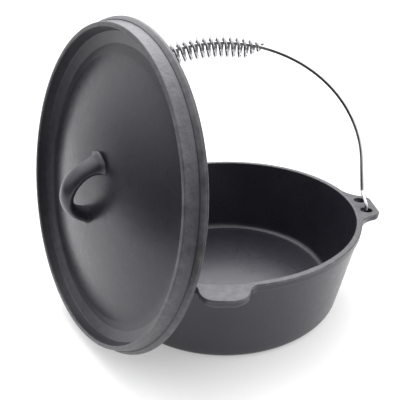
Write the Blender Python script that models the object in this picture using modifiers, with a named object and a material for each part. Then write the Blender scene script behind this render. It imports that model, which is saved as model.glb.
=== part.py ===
"""Cast iron dutch oven: an open pot with its lid leaning on the rim and its wire bail leaning back.

Metres, +Z up. The origin is the centre of the pot's flat base. The two ears lie on +X and -X,
and the pouring lip faces -Y. Each separate piece of the real object is one object:
the pot casting, the lid casting, the loop cast into the lid, the bail wire and its spring grip.
"""

import math

import bmesh
import bpy
from mathutils import Matrix, Vector

MM = 0.001
GAP = 0.3 * MM  # between pieces that touch

# Pot casting
RIM_RADIUS = 150.0 * MM
RIM_INNER_RADIUS = 143.8 * MM
RIM_HEIGHT = 99.2 * MM
RIM_ROUNDING = 0.8 * MM
BAND_HEIGHT = 8.0 * MM  # thickened band round the outside of the rim
BAND_STEP = 1.9 * MM  # how far the band stands out from the wall
WALL_FOOT_RADIUS = 134.2 * MM  # where the wall meets the bottom corner
BASE_CORNER = 9.0 * MM
FLOOR_THICKNESS = 5.0 * MM
FLOOR_CORNER = 9.0 * MM
FLOOR_WALL_RADIUS = 129.2 * MM  # inside wall just above the floor's corner
POT_SEGMENTS = 80

# Ears and pouring lip: plates flush with the rim, joined to it by hollow flares
EAR_TIP = 170.5 * MM
EAR_CORNER = 11.0 * MM
EAR_FLARE = 31.0 * MM
EAR_FLARE_ANGLE = math.radians(17.5)
LIP_TIP = 168.8 * MM
LIP_CORNER = 16.7 * MM
LIP_FLARE = 8.0 * MM
LIP_FLARE_ANGLE = math.radians(11.0)
LIP_AZIMUTH = math.radians(-91.6)  # the casting's lip is a little off square to its ears
LUG_ROOT_RADIUS = 145.4 * MM  # ends inside the wall
HOLE_RADIUS = 6.0 * MM
HOLE_REACH = 157.2 * MM  # from the pot's axis along X
HOLE_SPACING = 12.7 * MM  # each hole's centre is this far from the X axis
CHANNEL_RADIUS = 180.0 * MM  # pouring channel across the rim, a shallow hollow
CHANNEL_DEPTH_INSIDE = 1.3 * MM
CHANNEL_DEPTH_AT_LIP = 0.2 * MM

# Lid casting, in its own frame: origin in the seating plane, +Z out of the top face
LID_RADIUS = 152.8 * MM
LID_CREST_RADIUS = 145.0 * MM
LID_CREST_HEIGHT = 15.7 * MM
LID_CREST_WIDTH = 3.6 * MM
LID_STEP_HEIGHT = 5.2 * MM  # foot of the upright rim that holds the coals
LID_STEP_RADIUS = 148.3 * MM
LID_LEDGE_HEIGHT = 4.8 * MM  # at its outer edge: it slopes down inwards to the trough
LID_LEDGE_OUTER = 140.2 * MM
LID_LEDGE_INNER = 131.0 * MM
TROUGH_RADIUS = 124.5 * MM
TROUGH_HEIGHT = 0.4 * MM
DOME_HEIGHT = 15.2 * MM
DOME_FULLNESS = 2.8  # exponents of the dome's curve
DOME_EDGE = 1.25
LID_THICKNESS = 3.9 * MM
LOCATING_RING_RADIUS = 142.4 * MM
LOCATING_RING_DEPTH = 4.6 * MM
LOCATING_RING_WIDTH = 11.0 * MM
LID_SEGMENTS = 80

# How the lid leans: it stands on the ground on its edge, its hollow side on the pot's rim
LEAN = math.radians(15.23)
LEAN_AZIMUTH = math.radians(217.9)  # compass of the top face, from +X
LID_REACH = 127.85 * MM  # from the pot's axis to the lid's centre, along that azimuth
LID_SIDEWAYS = -20.67 * MM

# Loop handle of the lid: part of an ellipse, bent from oval bar, its feet flared where they
# enter two blind sockets in the dome
LOOP_HALF_SPAN = 32.9 * MM
LOOP_RISE = 33.5 * MM
LOOP_CENTRE_HEIGHT = 4.0 * MM
LOOP_THICKNESS = 5.5 * MM  # half of the bar's section, in the loop's plane
LOOP_WIDTH = 9.9 * MM  # half of the bar's section, across the loop's plane
LOOP_UPPER_FOOT = 1.5  # size of the section at each foot
LOOP_LOWER_FOOT = 1.125
LOOP_LOWER_TUCK = 0.20  # the lower leg turns in to the dome this much sooner
LOOP_FLARE_HEIGHT = 9.0 * MM
LOOP_TURN = math.radians(162.1)  # about the lid's axis
SOCKET_FLOOR = 12.3 * MM  # bottom of the sockets above the seating plane
SOCKET_MOUTH = 15.4 * MM

# Bail: a wire that hooks round the web between each ear's two holes, and hinges on it
HINGE_HEIGHT = RIM_HEIGHT - 0.5 * BAND_HEIGHT
BAIL_TILT = math.radians(30.6)  # leans back, towards +Y
BAIL_WIRE_RADIUS = 2.0 * MM
BAIL_HALF_WIDTH = HOLE_REACH
BAIL_LEG = 55.6 * MM
BAIL_RISE = 135.6 * MM
EYE_RADIUS = 12.0 * MM
EYE_KINK = 18.5 * MM  # height at which the leg turns off towards the front hole
EYE_END_ANGLE = math.radians(70.0)
ARCH_STEPS = 36
EYE_STEPS = 10

# Spring grip: a coil of wire drawn in at both ends, its slack middle sagging on the bail
GRIP_WIRE_RADIUS = 1.5 * MM
GRIP_COIL_RADIUS = 11.0 * MM
GRIP_END_RADIUS = BAIL_WIRE_RADIUS + GRIP_WIRE_RADIUS + 0.5 * MM
GRIP_SAG = 3.6 * MM
GRIP_PITCH = 7.3 * MM
GRIP_TAPER = 3.0 * GRIP_PITCH
GRIP_RIGHT_END = 46.0 * MM  # the bail's x where the coil ends
GRIP_LEFT_END = -71.0 * MM
STEPS_PER_TURN = 14

IRON = (0.045, 0.045, 0.050, 1.0)
CHROME = (0.72, 0.72, 0.74, 1.0)


def clear_scene():
    for obj in list(bpy.data.objects):
        bpy.data.objects.remove(obj, do_unlink=True)


def make_collection(name):
    collection = bpy.data.collections.new(name)
    bpy.context.scene.collection.children.link(collection)
    return collection


def make_material(name, colour, roughness, metallic):
    material = bpy.data.materials.new(name)
    material.use_nodes = True
    shader = material.node_tree.nodes["Principled BSDF"]
    shader.inputs["Base Color"].default_value = colour
    shader.inputs["Roughness"].default_value = roughness
    shader.inputs["Metallic"].default_value = metallic
    return material


def add_object(name, data, collection, material=None):
    obj = bpy.data.objects.new(name, data)
    collection.objects.link(obj)
    if material is not None:
        data.materials.append(material)
    return obj


def hide_tool(obj):
    obj.hide_render = True
    obj.display_type = "WIRE"


def as_mesh(obj, collection):
    """Replace a curve object by a mesh object in the same place, its caps welded on."""
    depsgraph = bpy.context.evaluated_depsgraph_get()
    mesh = bpy.data.meshes.new_from_object(obj.evaluated_get(depsgraph))
    bm = bmesh.new()
    bm.from_mesh(mesh)
    bmesh.ops.remove_doubles(bm, verts=bm.verts, dist=0.001 * MM)
    bm.to_mesh(mesh)
    bm.free()
    name = obj.name
    place = obj.matrix_world.copy()
    bpy.data.objects.remove(obj, do_unlink=True)
    solid = bpy.data.objects.new(name, mesh)
    collection.objects.link(solid)
    solid.matrix_world = place
    return solid


def arc(centre, radius, start, end, steps):
    """Points along an arc; angles in degrees."""
    points = []
    for i in range(steps + 1):
        angle = math.radians(start + (end - start) * i / steps)
        points.append((centre[0] + radius * math.cos(angle), centre[1] + radius * math.sin(angle)))
    return points


def turned(name, profile, segments, collection, material=None):
    """A closed body of revolution about Z from an (r, z) profile that starts and ends on the axis."""
    mesh = bpy.data.meshes.new(name)
    vertices = [(r, 0.0, z) for r, z in profile]
    edges = [(i, i + 1) for i in range(len(profile) - 1)]
    mesh.from_pydata(vertices, edges, [])
    obj = add_object(name, mesh, collection, material)
    screw = obj.modifiers.new("turn", "SCREW")
    screw.axis = "Z"
    screw.steps = segments
    screw.render_steps = segments
    screw.use_merge_vertices = True
    screw.merge_threshold = 0.005 * MM
    screw.use_smooth_shade = True
    return obj


def extruded(name, outline, low, high, collection):
    """A prism from a closed plan outline, between two heights."""
    curve = bpy.data.curves.new(name, "CURVE")
    curve.dimensions = "2D"
    curve.fill_mode = "BOTH"
    curve.extrude = 0.5 * (high - low)
    spline = curve.splines.new("POLY")
    spline.points.add(len(outline) - 1)
    for point, (x, y) in zip(spline.points, outline):
        point.co = (x, y, 0.0, 1.0)
    spline.use_cyclic_u = True
    obj = add_object(name, curve, collection)
    obj.location = (0.0, 0.0, 0.5 * (high + low))
    bpy.context.view_layer.update()
    return as_mesh(obj, collection)


def tube(name, path, radius, resolution, collection, material=None):
    """A round bar with closed ends along a list of points."""
    curve = bpy.data.curves.new(name, "CURVE")
    curve.dimensions = "3D"
    curve.bevel_depth = radius
    curve.bevel_resolution = resolution
    curve.use_fill_caps = True
    spline = curve.splines.new("POLY")
    spline.points.add(len(path) - 1)
    for point, place in zip(spline.points, path):
        point.co = (place[0], place[1], place[2], 1.0)
    return add_object(name, curve, collection, material)


def boolean(obj, tool, operation):
    modifier = obj.modifiers.new(operation.lower(), "BOOLEAN")
    modifier.operation = operation
    modifier.solver = "EXACT"
    modifier.object = tool
    hide_tool(tool)


def pot_profile():
    """(r, z) from the middle of the floor, up the inside, over the rim and down the outside."""
    band_foot = RIM_HEIGHT - BAND_HEIGHT
    points = [(0.0, FLOOR_THICKNESS)]
    centre = (FLOOR_WALL_RADIUS - FLOOR_CORNER, FLOOR_THICKNESS + FLOOR_CORNER)
    points += arc(centre, FLOOR_CORNER, -90.0, -9.0, 5)
    inner = (RIM_INNER_RADIUS + RIM_ROUNDING, RIM_HEIGHT - RIM_ROUNDING)
    points += arc(inner, RIM_ROUNDING, 180.0, 90.0, 2)
    outer = (RIM_RADIUS - RIM_ROUNDING, RIM_HEIGHT - RIM_ROUNDING)
    points += arc(outer, RIM_ROUNDING, 90.0, 0.0, 2)
    points.append((RIM_RADIUS - 0.3 * MM, band_foot + RIM_ROUNDING))
    points.append((RIM_RADIUS - BAND_STEP, band_foot - RIM_ROUNDING))
    corner = (WALL_FOOT_RADIUS - BASE_CORNER, BASE_CORNER)
    points += arc(corner, BASE_CORNER, -9.0, -90.0, 5)
    points.append((0.0, 0.0))
    return points


def lug_outline(tip, corner, flare, flare_angle):
    """Plan of a plate that stands out from the rim along +X, as one closed loop.

    A hollow flare leaves the rim circle at flare_angle and runs into a rounded corner,
    which ends on the straight tip.
    """
    flare_centre = Vector((math.cos(flare_angle), math.sin(flare_angle))) * (RIM_RADIUS + flare)
    corner_x = tip - corner
    drop = math.sqrt((flare + corner) ** 2 - (flare_centre.x - corner_x) ** 2)
    corner_centre = Vector((corner_x, flare_centre.y - drop))
    between = corner_centre - flare_centre
    join = math.degrees(math.atan2(between.y, between.x))
    start = math.degrees(flare_angle) - 180.0
    half = arc(flare_centre, flare, start, join, 7)
    half += arc(corner_centre, corner, join + 180.0, 0.0, 6)[1:]
    other = [(x, -y) for x, y in reversed(half)]
    root = arc((0.0, 0.0), LUG_ROOT_RADIUS, -math.degrees(flare_angle), math.degrees(flare_angle), 6)
    return half + other + root


def turned_outline(outline, angle):
    cos, sin = math.cos(angle), math.sin(angle)
    return [(x * cos - y * sin, x * sin + y * cos) for x, y in outline]


def rim_plate(name, outline, azimuth, tools):
    plan = turned_outline(outline, azimuth)
    return extruded(name, plan, RIM_HEIGHT - BAND_HEIGHT, RIM_HEIGHT, tools)


def round_cutter(name, radius, length, place, rotation, segments, tools):
    mesh = bpy.data.meshes.new(name)
    bm = bmesh.new()
    bmesh.ops.create_cone(
        bm, cap_ends=True, segments=segments, radius1=radius, radius2=radius, depth=length
    )
    bm.to_mesh(mesh)
    bm.free()
    obj = add_object(name, mesh, tools)
    obj.matrix_world = Matrix.Translation(place) @ rotation
    return obj


def pouring_channel(tools):
    """A shallow round-bottomed trough across the rim, deeper at the inside."""
    slope = math.atan((CHANNEL_DEPTH_INSIDE - CHANNEL_DEPTH_AT_LIP) / (LIP_TIP - RIM_INNER_RADIUS))
    middle = 0.5 * (RIM_INNER_RADIUS + LIP_TIP)
    depth = 0.5 * (CHANNEL_DEPTH_INSIDE + CHANNEL_DEPTH_AT_LIP)
    outward = Matrix.Rotation(LIP_AZIMUTH, 4, "Z")
    place = outward @ Vector((middle, 0.0, RIM_HEIGHT - depth + CHANNEL_RADIUS))
    rotation = outward @ Matrix.Rotation(math.radians(90.0) - slope, 4, "Y")
    return round_cutter("pouring_channel", CHANNEL_RADIUS, 40.0 * MM, place, rotation, 240, tools)


def ear_hole(x_side, y_side, tools):
    place = Vector((x_side * HOLE_REACH, y_side * HOLE_SPACING, HINGE_HEIGHT))
    return round_cutter("ear_hole", HOLE_RADIUS, 3.0 * BAND_HEIGHT, place, Matrix(), 24, tools)


def make_pot(parts, tools, iron):
    pot = turned("pot_body", pot_profile(), POT_SEGMENTS, parts, iron)
    ear = lug_outline(EAR_TIP, EAR_CORNER, EAR_FLARE, EAR_FLARE_ANGLE)
    lip = lug_outline(LIP_TIP, LIP_CORNER, LIP_FLARE, LIP_FLARE_ANGLE)
    boolean(pot, rim_plate("ear_plate", ear, 0.0, tools), "UNION")
    boolean(pot, rim_plate("ear_plate", ear, math.pi, tools), "UNION")
    boolean(pot, rim_plate("lip_plate", lip, LIP_AZIMUTH, tools), "UNION")
    boolean(pot, pouring_channel(tools), "DIFFERENCE")
    for x_side in (1, -1):
        for y_side in (1, -1):
            boolean(pot, ear_hole(x_side, y_side, tools), "DIFFERENCE")
    return pot


def dome_height(r):
    """Height of the lid's top face above the seating plane, inside the trough."""
    share = max(0.0, 1.0 - (r / TROUGH_RADIUS) ** DOME_FULLNESS)
    return TROUGH_HEIGHT + (DOME_HEIGHT - TROUGH_HEIGHT) * share**DOME_EDGE


def lid_profile():
    """(r, z) from the middle of the dome, over the coal rim and back along the underside."""
    rings = [14, 32, 50, 66, 80, 92, 102, 110, 116]
    points = [(0.0, DOME_HEIGHT)]
    points += [(ring * MM, dome_height(ring * MM)) for ring in rings]
    points.append((LID_LEDGE_INNER - 1.0 * MM, TROUGH_HEIGHT + 0.1 * MM))
    points.append((LID_LEDGE_INNER + 0.4 * MM, TROUGH_HEIGHT + 0.5 * MM))
    points.append((LID_LEDGE_OUTER, LID_LEDGE_HEIGHT))
    crest_inner = LID_CREST_RADIUS - LID_CREST_WIDTH
    points.append((crest_inner - 0.6 * MM, LID_LEDGE_HEIGHT + 1.2 * MM))
    points.append((crest_inner, LID_CREST_HEIGHT - 0.8 * MM))
    points.append((crest_inner + 0.8 * MM, LID_CREST_HEIGHT))
    points.append((LID_CREST_RADIUS - 0.9 * MM, LID_CREST_HEIGHT))
    points.append((LID_CREST_RADIUS + 0.2 * MM, LID_CREST_HEIGHT - 1.0 * MM))
    points.append((LID_STEP_RADIUS - 0.4 * MM, LID_STEP_HEIGHT + 0.7 * MM))
    points.append((LID_STEP_RADIUS + 0.4 * MM, LID_STEP_HEIGHT))
    points.append((LID_RADIUS - 1.6 * MM, LID_STEP_HEIGHT - 0.8 * MM))
    points.append((LID_RADIUS, 0.4 * MM))
    points.append((LID_RADIUS - 0.4 * MM, 0.0))
    points.append((LOCATING_RING_RADIUS + 0.4 * MM, 0.0))
    points.append((LOCATING_RING_RADIUS, -0.4 * MM))
    points.append((LOCATING_RING_RADIUS - 0.6 * MM, -LOCATING_RING_DEPTH + 0.8 * MM))
    points.append((LOCATING_RING_RADIUS - 1.5 * MM, -LOCATING_RING_DEPTH))
    inner = LOCATING_RING_RADIUS - LOCATING_RING_WIDTH
    points.append((inner, -LOCATING_RING_DEPTH))
    points.append((inner - 4.0 * MM, TROUGH_HEIGHT - LID_THICKNESS - 0.5 * MM))
    points += [(ring * MM, dome_height(ring * MM) - LID_THICKNESS) for ring in reversed(rings)]
    points.append((0.0, DOME_HEIGHT - LID_THICKNESS))
    return points


def lid_place():
    """The lid's frame: +Z along the way its top face looks, +X down along the face."""
    outward = Vector((math.cos(LEAN_AZIMUTH), math.sin(LEAN_AZIMUTH), 0.0))
    sideways = Vector((-outward.y, outward.x, 0.0))
    centre = outward * LID_REACH + sideways * LID_SIDEWAYS
    centre.z = LID_RADIUS * math.cos(LEAN) + 0.1 * MM
    turn = Matrix.Rotation(LEAN_AZIMUTH, 4, "Z") @ Matrix.Rotation(math.radians(90.0) - LEAN, 4, "Y")
    return Matrix.Translation(centre) @ turn


def loop_start():
    """Parameter angle of the ellipse where it leaves the dome."""
    return math.asin((SOCKET_MOUTH - LOOP_CENTRE_HEIGHT) / LOOP_RISE)


def loop_reach(angle):
    """How far the centre line is from the lid's axis: plus for the upper leg, minus for the lower."""
    cos = math.cos(angle)
    lower = max(0.0, -cos)
    lower = lower * lower * (3.0 - 2.0 * lower)
    return LOOP_HALF_SPAN * cos * (1.0 - LOOP_LOWER_TUCK * lower)


def loop_path():
    """Centre line of the loop before it is turned about the lid's axis, and its section's size."""
    steps = 20
    start = loop_start()
    foot = SOCKET_FLOOR + GAP
    points = [(Vector((loop_reach(start), 0.0, foot)), LOOP_UPPER_FOOT)]
    for i in range(steps + 1):
        angle = start + (math.pi - 2.0 * start) * i / steps
        height = LOOP_CENTRE_HEIGHT + LOOP_RISE * math.sin(angle)
        share = max(0.0, 1.0 - (height - SOCKET_MOUTH) / LOOP_FLARE_HEIGHT)
        foot_size = LOOP_UPPER_FOOT if angle < 0.5 * math.pi else LOOP_LOWER_FOOT
        size = 1.0 + (foot_size - 1.0) * share * share
        points.append((Vector((loop_reach(angle), 0.0, height)), size))
    points.append((Vector((loop_reach(math.pi - start), 0.0, foot)), LOOP_LOWER_FOOT))
    return points


def widen(mesh, turn):
    """Make a round bar's section oval across the loop's plane, then turn the loop in place."""
    mesh.transform(Matrix.Scale(LOOP_WIDTH / LOOP_THICKNESS, 4, Vector((0.0, 1.0, 0.0))))
    mesh.transform(turn)


def loop_socket(angle, foot_size, place, tools):
    """Cutter for the blind hole in the dome that holds one foot of the loop."""
    length = 20.0 * MM
    radius = LOOP_THICKNESS * foot_size + GAP
    middle = Vector((loop_reach(angle), 0.0, SOCKET_FLOOR + 0.5 * length))
    cutter = round_cutter("loop_socket", radius, length, Vector(), Matrix(), 24, tools)
    cutter.data.transform(Matrix.Translation(middle))
    widen(cutter.data, Matrix.Rotation(LOOP_TURN, 4, "Z"))
    cutter.matrix_world = place
    return cutter


def make_lid(parts, tools, iron):
    pose = bpy.data.objects.new("lid_pose", None)
    parts.objects.link(pose)
    place = lid_place()
    pose.matrix_world = place
    lid = turned("lid", lid_profile(), LID_SEGMENTS, parts, iron)
    lid.parent = pose
    feet = ((loop_start(), LOOP_UPPER_FOOT), (math.pi - loop_start(), LOOP_LOWER_FOOT))
    for angle, foot_size in feet:
        boolean(lid, loop_socket(angle, foot_size, place, tools), "DIFFERENCE")
    path = loop_path()
    bar = tube("lid_loop", [point for point, size in path], LOOP_THICKNESS, 4, parts)
    for point, (centre, size) in zip(bar.data.splines[0].points, path):
        point.radius = size
    bpy.context.view_layer.update()
    loop = as_mesh(bar, parts)
    widen(loop.data, Matrix.Rotation(LOOP_TURN, 4, "Z"))
    loop.data.materials.append(iron)
    loop.parent = pose
    return lid, loop


def arch_point(x_angle):
    """Point of the bail's arch, in the plane of the bail, at an angle from its right leg."""
    return Vector(
        (BAIL_HALF_WIDTH * math.cos(x_angle), 0.0, BAIL_LEG + BAIL_RISE * math.sin(x_angle))
    )


def eye_points(x):
    """One hooked end: from the tip, under the web, and up to where the leg turns straight."""
    leave = math.acos(EYE_RADIUS / EYE_KINK)
    sweep = 2.0 * math.pi - leave - EYE_END_ANGLE
    points = []
    for i in range(EYE_STEPS + 1):
        angle = EYE_END_ANGLE + sweep * i / EYE_STEPS
        points.append(Vector((x, EYE_RADIUS * math.sin(angle), EYE_RADIUS * math.cos(angle))))
    points.append(Vector((x, -0.6 * MM, EYE_KINK - 1.2 * MM)))
    points.append(Vector((x, 0.0, EYE_KINK + 1.2 * MM)))
    return points


def bail_path():
    """The whole wire in the bail's plane, from the tip of one eye to the tip of the other."""
    right = eye_points(BAIL_HALF_WIDTH)
    arch = [arch_point(math.pi * i / ARCH_STEPS) for i in range(ARCH_STEPS + 1)]
    left = [Vector((-point.x, point.y, point.z)) for point in reversed(right)]
    return right + arch + left


def grip_path():
    """A helix about the bail's arch, its radius drawn in towards both ends."""
    fine = 4000
    stations = [(0.0, 0.0)]
    travelled = 0.0
    before = arch_point(0.0)
    for i in range(1, fine + 1):
        angle = math.pi * i / fine
        here = arch_point(angle)
        travelled += (here - before).length
        stations.append((travelled, angle))
        before = here
    start = min(stations, key=lambda s: abs(arch_point(s[1]).x - GRIP_RIGHT_END))[0]
    end = min(stations, key=lambda s: abs(arch_point(s[1]).x - GRIP_LEFT_END))[0]
    count = int(round((end - start) / GRIP_PITCH * STEPS_PER_TURN))
    down = Vector((0.0, math.sin(BAIL_TILT), -math.cos(BAIL_TILT)))
    points = []
    nearest = 0
    for i in range(count + 1):
        distance = start + (end - start) * i / count
        while stations[nearest][0] < distance:
            nearest += 1
        angle = stations[nearest][1]
        centre = arch_point(angle)
        outward = Vector((BAIL_RISE * math.cos(angle), 0.0, BAIL_HALF_WIDTH * math.sin(angle)))
        outward.normalize()
        from_end = min(distance - start, end - distance)
        share = min(1.0, from_end / GRIP_TAPER)
        smooth = share * share * (3.0 - 2.0 * share)
        radius = GRIP_END_RADIUS + (GRIP_COIL_RADIUS - GRIP_END_RADIUS) * smooth
        turn = 2.0 * math.pi * i / STEPS_PER_TURN
        offset = outward * (radius * math.cos(turn))
        offset.y = radius * math.sin(turn)
        points.append(centre + offset + down * (GRIP_SAG * smooth))
    return points


def make_bail(parts, chrome):
    pose = bpy.data.objects.new("bail_pose", None)
    parts.objects.link(pose)
    pose.matrix_world = Matrix.Translation((0.0, 0.0, HINGE_HEIGHT)) @ Matrix.Rotation(-BAIL_TILT, 4, "X")
    wire = tube("bail_wire", bail_path(), BAIL_WIRE_RADIUS, 2, parts, chrome)
    wire.parent = pose
    grip = tube("spring_grip", grip_path(), GRIP_WIRE_RADIUS, 2, parts, chrome)
    grip.parent = pose
    return wire, grip


def main():
    clear_scene()
    parts = make_collection("dutch_oven")
    tools = make_collection("cutters")
    iron = make_material("seasoned_iron", IRON, 0.55, 0.0)
    chrome = make_material("bright_wire", CHROME, 0.12, 1.0)
    make_pot(parts, tools, iron)
    make_lid(parts, tools, iron)
    make_bail(parts, chrome)
    bpy.context.view_layer.update()


main()
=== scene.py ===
"""The looks of a cast iron dutch oven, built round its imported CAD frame.

Metres, +Z up, the origin at the centre of the pot's base, the ears on +X and -X.
Five pieces replace the five CAD solids, one for one: the pot casting, the lid casting with
its loop, and the bail's wire with its spring grip.
"""

import math

import bmesh
import bpy
from mathutils import Matrix, Vector, noise


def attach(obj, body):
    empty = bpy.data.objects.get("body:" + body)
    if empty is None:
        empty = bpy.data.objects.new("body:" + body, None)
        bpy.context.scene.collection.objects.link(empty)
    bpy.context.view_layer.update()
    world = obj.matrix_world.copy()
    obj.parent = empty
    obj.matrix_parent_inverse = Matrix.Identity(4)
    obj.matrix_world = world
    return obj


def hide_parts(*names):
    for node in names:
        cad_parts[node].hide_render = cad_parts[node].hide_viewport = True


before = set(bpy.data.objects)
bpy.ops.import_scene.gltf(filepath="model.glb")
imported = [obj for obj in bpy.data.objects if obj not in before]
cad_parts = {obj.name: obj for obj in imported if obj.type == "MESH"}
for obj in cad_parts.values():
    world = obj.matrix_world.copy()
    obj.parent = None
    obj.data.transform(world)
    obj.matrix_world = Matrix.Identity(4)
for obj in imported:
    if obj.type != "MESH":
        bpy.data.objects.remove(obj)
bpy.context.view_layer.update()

MM = 0.001
NORMAL_WEIGHT = 80  # how much a wide face counts in the shading, from 1 to 100

# Pot casting
RIM_RADIUS = 149.95 * MM
RIM_INNER_RADIUS = 143.8 * MM
RIM_HEIGHT = 99.2 * MM
BAND_HEIGHT = 8.0 * MM
BAND_DRAFT = 0.3 * MM  # the band's face leans in this much towards its foot
TOP_ROUNDING = 1.4 * MM
FOOT_ROUNDING = 0.9 * MM
LUG_FOOT_ROUNDING = 2.2 * MM  # under the ears and the lip
INNER_ROUNDING = 1.5 * MM
POURING_ROUNDING = 0.9 * MM  # the inner edge is crisper at the pouring channel
WALL_TOP_RADIUS = 148.1 * MM
WALL_TOP_HEIGHT = 90.4 * MM
WALL_FOOT_RADIUS = 134.2 * MM
BASE_CORNER = 9.0 * MM
FLOOR_THICKNESS = 5.0 * MM
FLOOR_CORNER = 9.0 * MM
FLOOR_WALL_RADIUS = 129.2 * MM
WALL_LEAN = 9.0  # degrees, where both bottom corners run into the wall

# Ears and pouring lip
EAR_TIP = 170.45 * MM
EAR_CORNER = 11.0 * MM
EAR_FLARE = 31.0 * MM
EAR_FLARE_ANGLE = math.radians(17.5)
LIP_TIP = 168.75 * MM
LIP_CORNER = 16.7 * MM
LIP_FLARE = 8.0 * MM
LIP_FLARE_ANGLE = math.radians(11.0)
LIP_AZIMUTH = math.radians(-91.6)
HOLE_RADIUS = 6.0 * MM
HOLE_EDGE = 0.9 * MM
HOLE_REACH = 157.2 * MM
HOLE_SPACING = 12.7 * MM
CHANNEL_FLAT = 15.0 * MM  # half width of the channel's flat bottom
CHANNEL_EDGE = 24.0 * MM  # half width at the top
CHANNEL_DEPTH_INSIDE = 1.3 * MM
CHANNEL_DEPTH_AT_LIP = 0.2 * MM
UNDERSIDE_FILLET = 3.0 * MM  # under the ears and the lip
BAND_FILLET = 0.5 * MM
LUG_BLEND = 7.0 * MM  # an edge that stands out this far beyond the rim is all lug
HOLE_SIDES = 48
CUTTER_REACH = 4.0 * MM  # the hole cutter stands this far past the plate
CUTTER_STEP = 0.01 * MM  # and is this much wider there

# Steps of the pot's upright section
FLOOR_RINGS = (16.0, 34.0, 52.0, 70.0, 86.0, 100.0, 112.0)  # radii in millimetres
BASE_RINGS = (112.0, 95.0, 76.0, 56.0, 34.0, 16.0)
BOTTOM_CORNER_STEPS = 10
INNER_WALL_STEPS = 12
INNER_EDGE_STEPS = 7
RIM_FACE_STEPS = 16
BAND_EDGE_STEPS = 6
BAND_FACE_STEPS = 5
UNDERSIDE_STEPS = 7
UNDERSIDE_FILLET_STEPS = 6
OUTER_WALL_STEPS = 13

# Spacing of the points along the rim's plan edge
EAR_SPACING = 1.3 * MM
LIP_SPACING = 1.0 * MM
RIM_SPACING = 3.6 * MM

# Wear of the iron, from 0 for whole seasoning to 1 for a rubbed edge
INNER_EDGE_WEAR = 0.75
INNER_EDGE_WEAR_POURING = 0.4
RIM_FACE_WEAR = 0.45
RIM_FACE_WEAR_POURING = 1.0
OUTER_EDGE_WEAR = 1.0
BAND_FOOT_WEAR = 0.3
BASE_CORNER_WEAR = 0.15
LOOP_WEAR = 0.15
LOOP_FOOT_WEAR = 0.5  # more than the rest of the loop
LOOP_FOOT_WEAR_HEIGHT = 2.2 * MM

# The iron's rougher sand-cast skin, from 0 to 1
CREST_SAND_START = (144.4 * MM, 145.4 * MM)  # on the outer slope of the lid's upright rim
CREST_SAND_END = (147.8 * MM, 148.4 * MM)
CREST_SAND_FOOT = 5.0 * MM
LOOP_SAND = 0.25

# Lid casting, in its own frame
LID_RADIUS = 152.7 * MM
LID_THICKNESS = 3.9 * MM
TROUGH_RADIUS = 124.5 * MM
TROUGH_HEIGHT = 0.4 * MM
DOME_HEIGHT = 15.2 * MM
DOME_FULLNESS = 2.8
DOME_EDGE = 1.25
LID_COLUMNS = 288
LID_RING_SPACING = 4.0  # millimetres between rings of the dome
LID_RINGS = 31
LEAN = math.radians(15.23)
LEAN_AZIMUTH = math.radians(217.9)
LID_REACH = 127.85 * MM
LID_SIDEWAYS = -20.67 * MM
LID_STANDING_RADIUS = 152.8 * MM
LID_GROUND_GAP = 0.1 * MM

# Loop handle
LOOP_HALF_SPAN = 32.9 * MM
LOOP_RISE = 33.25 * MM
LOOP_CENTRE_HEIGHT = 4.0 * MM
LOOP_THICKNESS = 5.3 * MM
LOOP_WIDTH = 9.9 * MM
LOOP_FOOT = 0.7  # how much the section grows at the feet
LOOP_FLARE_HEIGHT = 12.0 * MM
LOOP_SEAM = 0.35  # further growth of the last few millimetres, where the metal ran
LOOP_SEAM_HEIGHT = 2.6 * MM
LOOP_LOWER_TUCK = 0.20  # the lower leg turns in to the dome this much sooner
LOOP_LOWER_FLARE = 0.25  # its foot flares this much of what the upper one does
LOOP_TURN = math.radians(162.1)
LOOP_SINK = 1.6 * MM  # the feet end this far inside the dome
LOOP_FOOT_REACH = 0.94  # of the half span, where the dome's height is taken for the feet
LOOP_STEPS = 90
LOOP_SIDES = 40
LOOP_GATHER = 0.09  # how much closer its rings lie at the feet and the top
LOOP_RAGGED = 0.9  # how uneven the seam is round the foot
LOOP_RAGGED_SCALE = 1.7
LOOP_RAGGED_PLACE = 4.0
LOOP_RIPPLE = 0.25 * MM
LOOP_RIPPLE_LENGTH = 9.0 * MM

# Bail
HINGE_HEIGHT = RIM_HEIGHT - 0.5 * BAND_HEIGHT
BAIL_TILT = math.radians(30.6)
BAIL_WIRE_RADIUS = 2.0 * MM
BAIL_HALF_WIDTH = HOLE_REACH
BAIL_LEG = 55.6 * MM
BAIL_RISE = 135.6 * MM
EYE_RADIUS = 12.0 * MM
EYE_KINK = 18.5 * MM
EYE_KINK_ROUNDING = 6.0 * MM
EYE_END_ANGLE = math.radians(70.0)
EYE_STEPS = 44
KINK_STEP = 5.0  # degrees
LEG_SPACING = 3.0 * MM
ARCH_STEPS = 150
BAIL_SIDES = 24

# Spring grip
GRIP_WIRE_RADIUS = 1.65 * MM
GRIP_COIL_RADIUS = 11.0 * MM
GRIP_END_RADIUS = 4.0 * MM
GRIP_SAG = 3.6 * MM
GRIP_PITCH = 7.3 * MM
GRIP_TAPER = 3.0 * GRIP_PITCH
GRIP_RIGHT_END = 46.0 * MM
GRIP_LEFT_END = -71.0 * MM
GRIP_STEPS_PER_TURN = 44
GRIP_SIDES = 16
GRIP_STATIONS = 4000  # along the arch, to place the coil by distance
GRIP_COUNT_STEP = 14  # the coil is a whole number of these parts of a turn

# Camera
CAMERA_TARGET = Vector((0.0, 0.0, 0.060))
CAMERA_DISTANCE = 0.5098
CAMERA_ELEVATION = 0.5238
CAMERA_AZIMUTH = math.radians(1.42)
CAMERA_ROLL = -0.00784
CAMERA_LENS = 39.075
CAMERA_SENSOR = 36.0
CAMERA_SHIFT = (-0.06275, 0.093625)
CAMERA_CLIP = (0.01, 400.0)

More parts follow.
